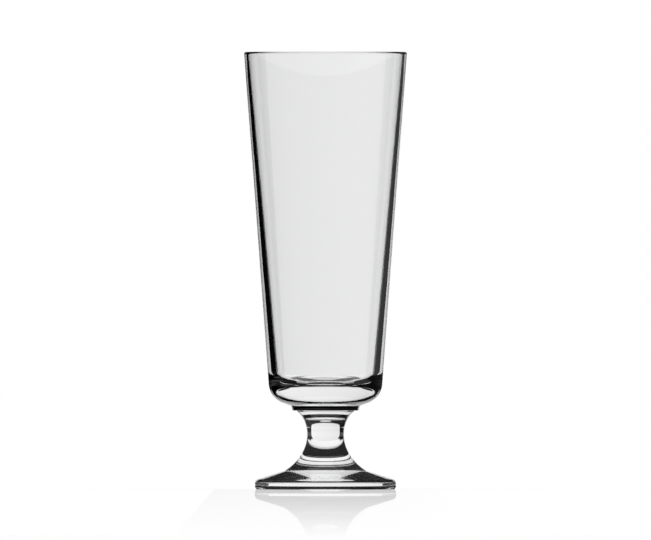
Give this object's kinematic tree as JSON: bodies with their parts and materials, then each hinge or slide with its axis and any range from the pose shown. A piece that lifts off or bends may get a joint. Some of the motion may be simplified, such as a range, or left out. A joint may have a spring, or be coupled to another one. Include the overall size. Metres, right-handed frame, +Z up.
{
  "type": "footed beer glass",
  "caption": "Footed beer glass: a tall tapered clear bowl on a collar, a short waisted stem and a low conical foot. It holds a drink and stands on its foot.",
  "frame": {"origin": "centre of the ring that the foot rests on", "axes": "+Z up along the glass's axis of revolution, from the foot to the rim; the glass is round, so X and Y are free"},
  "size_m": [0.0736, 0.0736, 0.198],
  "materials": {
    "clear_glass": "fire-polished, clear and colourless"
  },
  "bodies": {
    "root": {"bowl": "clear_glass", "collar": "clear_glass", "stem": "clear_glass", "foot": "clear_glass"}
  },
  "joints": []
}
